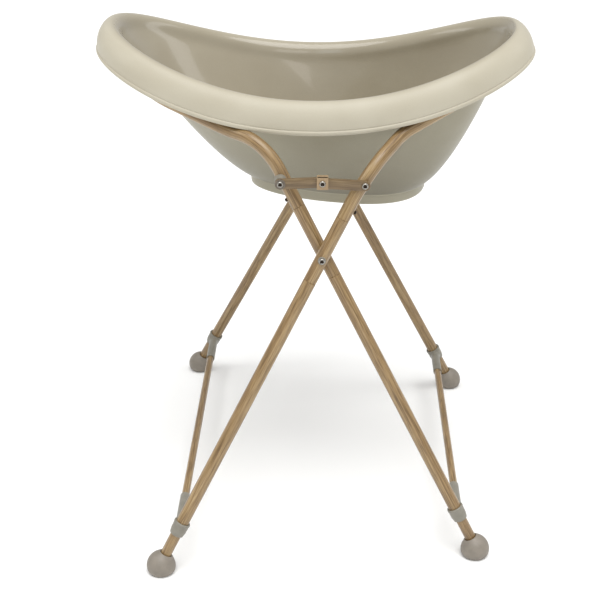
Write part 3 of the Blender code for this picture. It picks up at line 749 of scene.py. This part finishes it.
def stop_clip(side_name, material):
    """The clip at the brace's middle: a plate under the link bolt and its lip over the bar."""
    node = f"brace_stop_{side_name}"
    low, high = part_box(node)
    side = SIDES[side_name]
    face = (high.y if side > 0 else low.y) - side * CLIP_PLATE
    plate_low, plate_high = low.copy(), high.copy()
    lip_low, lip_high = low.copy(), high.copy()
    if side > 0:
        plate_low.y = face
    else:
        plate_high.y = face
    lip_low.z = high.z - 0.0040
    bm = rounded_block(plate_low, plate_high, CLIP_PLATE * 0.42)
    lip = mesh_from(rounded_block(lip_low, lip_high, 0.0011), "lip")
    bm.from_mesh(lip)
    bpy.data.meshes.remove(lip)
    return piece(f"{node}_fine", mesh_from(bm, f"{node}_fine"), Matrix(), [node], material)


def snap_button(leg, material):
    """The domed spring button in its hole above the upper seam."""
    node = f"snap_button_{leg.name}"
    low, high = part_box(node)
    middle = (low + high) / 2
    along = leg.along(middle)
    place = frame_matrix(leg.point(along), leg.out, leg.axis)
    profile = soften([
        (0, 0.0070), (0.0046, 0.0070), (0.0046, 0.0080), (0.0034, 0.0080), (0.0034, 0.0152), (0.0028, 0.0164),
        (0.0016, 0.0169), (0, 0.0170),
    ], 0.0005, 3)
    return piece(f"{node}_fine", turned(f"{node}_fine", profile, 32), place, [node], material)


def signed_power(value, exponent):
    return math.copysign(abs(value) ** exponent, value)


def loop_points(left, right, half, height_at, exponent=RIM_N, egg=0.0):
    """A superellipse loop between left and right, wider at its right end by the share egg."""
    points = []
    for index in range(AROUND):
        angle = math.tau * index / AROUND
        along = signed_power(math.cos(angle), 2 / exponent)
        across = signed_power(math.sin(angle), 2 / exponent)
        x = (left + right) / 2 + (right - left) / 2 * along
        points.append(Vector((x, half * across * (1 + egg * along), height_at(along))))
    return points


def rim_loop(inset, rise):
    """A loop that follows the rim, in from its outline and up from its lower edge.

    Towards the ends the roll is lower, and at the right one its crest leans in.
    """
    def height_at(along):
        drop = END_DROP[along > 0] * abs(along) ** END_POWER
        return RIM_Z + RIM_SAG * along * along + rise * (1 - drop)

    outside = min(1.0, max(0.0, (ROLL_INSIDE - inset) / (ROLL_INSIDE - ROLL_INSET)))
    lean = END_LEAN * outside * rise / ROLL_RISE
    middle = (RIM_RIGHT - RIM_LEFT) / 2
    half_length = (RIM_RIGHT + RIM_LEFT) / 2 - inset
    points = loop_points(inset - RIM_LEFT, RIM_RIGHT - inset, RIM_B - inset, height_at)
    for point in points:
        along = max(0.0, (point.x - middle) / half_length)
        point.x -= lean * along ** END_POWER
    return points


def body_loop(share, inset=0.0, lift=0.0):
    """A loop of the body wall: share 0 is at the plinth and 1 is under the rim."""
    top_left, top_right = BODY_END_INSET - RIM_LEFT, RIM_RIGHT - BODY_END_INSET
    left = BODY_LEFT + (top_left - BODY_LEFT) * share ** LEFT_CURVE + inset
    right = BODY_RIGHT + (top_right - BODY_RIGHT) * share ** RIGHT_CURVE - inset
    half = BODY_HALF + (RIM_B - BODY_TOP_INSET - BODY_HALF) * share ** SIDE_CURVE - inset

    def height_at(along):
        wall_top = RIM_Z + RIM_SAG * along * along + BODY_TOP_RISE
        return BODY_Z + share * (wall_top - BODY_Z) + lift

    exponent = BODY_N + (RIM_N - BODY_N) * share
    return loop_points(left, right, half, height_at, exponent, EGG * (1 - share) ** EGG_FADE)


def flat_loop(inset, height):
    left, right, half = BODY_LEFT + inset, BODY_RIGHT - inset, BODY_HALF - inset
    return loop_points(left, right, half, lambda along: height, BODY_N, EGG)


def drain_loop(radius, height):
    circle = loop_points(-radius, radius, radius, lambda along: height, 2)
    return [point + Vector((DRAIN_X, 0, 0)) for point in circle]


def bath_rings():
    """Every loop of the shell with its level of painted light and shade, which also sets its gloss: floor, wall,
    over the rim and under it, down the body to the drain.
    """
    shares = [0.01, 0.03, 0.06, 0.10, 0.15, 0.21, 0.28, 0.36, 0.45, 0.55, 0.66, 0.78, 0.90, 0.97]
    rim_over = [
        (0.0515, 0.0360), (0.0480, 0.0455), (0.0430, 0.0525), (0.0370, 0.0570), (0.0300, 0.0585),
        (0.0225, 0.0566), (0.0150, 0.0512), (0.0085, 0.0420), (0.0042, 0.0310), (0.0022, 0.0180),
        (0.0017, 0.0112), (0.0019, 0.0096), (0.0028, 0.0090), (0.0014, 0.0083), (0.0003, 0.0070),
        (0.0, 0.0048), (0.0003, 0.0022), (0.0012, 0.0003), (0.0026, 0.0),
    ]
    rim_under = [
        (0.0042, 0.0003), (0.0050, 0.0014), (0.0054, 0.0060), (0.0060, 0.0180), (0.0082, 0.0295),
        (0.0124, 0.0395), (0.0180, 0.0475), (0.0240, 0.0525), (0.0300, 0.0543), (0.0360, 0.0528),
        (0.0410, 0.0485), (0.0448, 0.0415),
    ]
    floor = [
        drain_loop(DRAIN_R + 0.0006, FLOOR_Z - 0.0020), drain_loop(DRAIN_R + 0.0012, FLOOR_Z - 0.0004),
        drain_loop(DRAIN_R + 0.0030, FLOOR_Z), drain_loop(0.040, FLOOR_Z), flat_loop(WALL + 0.050, FLOOR_Z),
        flat_loop(WALL + 0.026, FLOOR_Z), flat_loop(WALL + 0.015, FLOOR_Z + 0.0003),
        flat_loop(WALL + 0.007, FLOOR_Z + 0.0022),
    ]
    plinth = [
        flat_loop(OUTER_EASE, BODY_Z - 0.0004), flat_loop(0.0016, BODY_Z - 0.0013),
        flat_loop(PLINTH_INSET - 0.0002, BODY_Z - 0.0017), flat_loop(PLINTH_INSET, BODY_Z - 0.0030),
        flat_loop(PLINTH_INSET, PLINTH_Z + 0.0026), flat_loop(PLINTH_INSET + 0.0007, PLINTH_Z + 0.0007),
        flat_loop(PLINTH_INSET + 0.0028, PLINTH_Z), flat_loop(PLINTH_INSET + 0.0125, PLINTH_Z),
        flat_loop(PLINTH_INSET + 0.0148, PLINTH_Z + 0.0010),
        flat_loop(PLINTH_INSET + 0.0160, PLINTH_Z + 0.0040),
        flat_loop(WALL + 0.060, PLINTH_Z + 0.0040), drain_loop(0.040, PLINTH_Z + 0.0040),
        drain_loop(DRAIN_R + 0.0022, PLINTH_Z + 0.0040), drain_loop(DRAIN_R + 0.0006, PLINTH_Z + 0.0052),
    ]
    # Over the roll the level rises to 1: painted light on the rim.
    rim_painted_light = [0.50, 0.50, 0.53, 0.64, 0.84]
    rim_painted_light += [1.0] * (len(rim_over) - len(rim_painted_light))
    rings = [(loop, INSIDE_PAINTED_LIGHT) for loop in floor]
    rings += [(body_loop(share, WALL, 0.0035 - 0.0035 * share), INSIDE_PAINTED_LIGHT) for share in shares]
    rings += [(rim_loop(*station), tone) for station, tone in zip(rim_over, rim_painted_light)]
    # Under the rim the level falls loop by loop, painted shade under its overhang; down the body it falls towards
    # the bottom and stays low on the plinth, painted shade.
    rings += [(rim_loop(*station), 0.8 - 0.05 * index) for index, station in enumerate(rim_under)]
    rings += [(body_loop(share, OUTER_EASE), BODY_PAINTED_LIGHT * share ** 0.7) for share in reversed(shares + [1.0])]
    rings += [(loop, PLINTH_PAINTED_LIGHT) for loop in plinth]
    return rings


def bath_shell(material):
    """The whole moulding as one closed surface, with each point's level of painted light and shade, which also
    sets its gloss, stored for its material.
    """
    rings = bath_rings()
    bm = bmesh.new()
    loops = [[bm.verts.new(point) for point in loop] for loop, _ in rings]
    for lower, upper in zip(loops, loops[1:] + loops[:1]):
        for index in range(AROUND):
            after = (index + 1) % AROUND
            bm.faces.new((lower[index], lower[after], upper[after], upper[index]))
    mesh = mesh_from(bm, "bath_shell_fine", 180)
    painted_light_levels = [(tone, 0.0, 0.0) for loop, tone in rings for _ in loop]
    store(mesh, "tone", painted_light_levels)
    made = piece("bath_shell_fine", mesh, Matrix(), ["bath_shell"], material)
    rounding = made.modifiers.new("rounding", "SUBSURF")
    rounding.levels = 2
    rounding.render_levels = 2
    return made


def drain_plug(material):
    """The plug: a soft disc with a ribbed pull."""
    stem = DRAIN_R - 0.0005
    profile = soften([
        (0, 0.0110), (0.0040, 0.0110), (0.0050, 0.0098), (0.0036, 0.0075), (0.0040, 0.0038), (0.0120, 0.0030),
        (0.0180, 0.0022), (0.0187, 0.0004), (stem, 0.0003), (stem - 0.0010, -0.0060), (0, -0.0060),
    ], 0.0010, 3)
    place = Matrix.Translation((DRAIN_X, 0, FLOOR_Z))
    return piece("drain_plug_fine", turned("drain_plug_fine", profile), place, ["drain_plug"], material)


def build_object():
    # The brace bars take a copy of the wood print darkened to 0.60: painted shade.
    wood, shaded_bar_wood, bath = wood_print("wood_print", 1.0), wood_print("bar_print", 0.60), bath_plastic()
    metal = steel("steel", (140, 136, 128), (186, 183, 176), 0.30)
    dark_metal = steel("steel_dark", (40, 34, 30), (62, 54, 47), 0.40)
    # The washers are a real part, but their darker plastic is painted shade for the shaded end of the brace bar
    # under the bolt head.
    washer = trim_plastic("washer_plastic", linear(112, 103, 90), linear(98, 88, 77), 0.45)
    clip = trim_plastic("clip_plastic", linear(164, 140, 106), linear(150, 124, 92), 0.40)
    trim = trim_plastic("trim_plastic", linear(136, 132, 121), linear(122, 118, 107), 0.42)
    rubber = trim_plastic("foot_plastic", linear(136, 128, 117), linear(122, 115, 105), 0.50)
    legs = {(letter, side): Leg(letter, side) for letter in LEAN for side in SIDES}
    for leg in legs.values():
        straight_tube(leg, "leg_tube", TUBE_R, True, wood)
        straight_tube(leg, "pivot_tube", TUBE_R, True, wood)
        straight_tube(leg, "foot_tube", FOOT_TUBE_R, False, wood)
        collar(leg, trim)
        foot(leg, rubber)
        snap_button(leg, dark_metal)
        washer_r = BRACE_WASHER_R if leg.letter == "b" else 0.0
        bolt(f"brace_bolt_{leg.name}", [metal, dark_metal, washer], washer_r)
        rounded_bar(f"brace_bar_{leg.name}", f"brace_{leg.name}_hinge", shaded_bar_wood)
    for letter in LEAN:
        upper_frame(letter, legs, wood)
        side_rod(letter, wood)
    for side in SIDES:
        bolt(f"pivot_bolt_{side}", [metal, dark_metal])
        bolt(f"brace_link_bolt_{side}", [metal, dark_metal])
        ring_about_y(f"pivot_nut_{side}", SHANK_BORE_R, NUT_R, 0.0005, metal, is_nut=True)
        ring_about_y(f"brace_link_nut_{side}", SHANK_BORE_R, NUT_R, 0.0004, metal, is_nut=True)
        ring_about_y(f"pivot_washer_{side}", SHANK_BORE_R, 0.0075, 0.0006, trim)
        ring_about_y(f"pivot_spacer_{side}", 0.0036, 0.0090, 0.0005, trim)
        ring_about_y(f"brace_stand_off_{side}", 0.0034, 0.0110, 0.0010, trim)
        stop_clip(side, clip)
    bath_shell(bath)
    drain_plug(trim)


def area_light(name, place, target, size, power, colour=(1, 1, 1)):
    data = bpy.data.lights.new(name, "AREA")
    data.shape = "RECTANGLE"
    data.size, data.size_y = size
    data.energy = power
    data.color = colour
    made = bpy.data.objects.new(name, data)
    bpy.context.scene.collection.objects.link(made)
    made.visible_camera = False
    made.location = Vector(place)
    made.rotation_euler = (Vector(target) - Vector(place)).to_track_quat("-Z", "Y").to_euler()


def build_studio():
    """A white floor and world, a soft sun, two soft boxes, three panels for the bath to reflect, a camera."""
    floor_look = Nodes("floor_paint", 0.9)
    clouds = floor_look.noise(floor_look.place((2, 2, 2)), 1.0, 2.0)
    floor_look.colour(floor_look.ramp(clouds, [(0.3, linear(246, 246, 245)), (0.7, linear(250, 250, 249))]))
    bm = bmesh.new()
    bmesh.ops.create_grid(bm, x_segments=8, y_segments=8, size=14)
    floor = bpy.data.objects.new("floor", mesh_from(bm, "floor"))
    floor.data.materials.append(floor_look.material)
    bpy.context.scene.collection.objects.link(floor)
    world = bpy.data.worlds.new("studio")
    world.use_nodes = True
    background = world.node_tree.nodes["Background"]
    background.inputs["Color"].default_value = (1, 1, 1, 1)
    background.inputs["Strength"].default_value = WORLD_STRENGTH
    bpy.context.scene.world = world
    bpy.context.scene.view_settings.view_transform = "Standard"
    sun = bpy.data.objects.new("sky_light", bpy.data.lights.new("sky_light", "SUN"))
    sun.data.energy = SUN_ENERGY
    sun.data.angle = math.radians(50)
    sun.rotation_euler = Vector(SUN_TOWARDS).to_track_quat("Z", "Y").to_euler()
    bpy.context.scene.collection.objects.link(sun)
    middle = (0, 0, 0.7)
    area_light("left_box", (-2.6, -0.6, 2.6), middle, (1.0, 1.8), 14)
    area_light("right_box", (2.6, 0.4, 2.4), middle, (1.0, 1.8), 12)
    area_light("panel_left", (-0.22, -2.95, 2.75), (-0.3, 0.17, 0.87), (0.30, 1.50), 3.0, (0.70, 0.86, 1.0))
    area_light("panel_middle", (0.28, -2.95, 2.50), (0.0, 0.17, 0.80), (0.50, 0.90), 3.5, (1.0, 0.94, 0.92))
    area_light("panel_right", (0.22, -2.95, 0.95), (0.24, 0.19, 0.87), (0.12, 0.60), 0.6)
    camera = bpy.data.objects.new("camera", bpy.data.cameras.new("camera"))
    camera.data.lens = CAMERA_LENS
    camera.data.sensor_width = 36
    camera.location = CAMERA_PLACE
    camera.rotation_euler = (math.pi / 2 - CAMERA_DOWN, 0, CAMERA_TURN)
    bpy.context.scene.collection.objects.link(camera)
    bpy.context.scene.camera = camera


build_object()
build_studio()
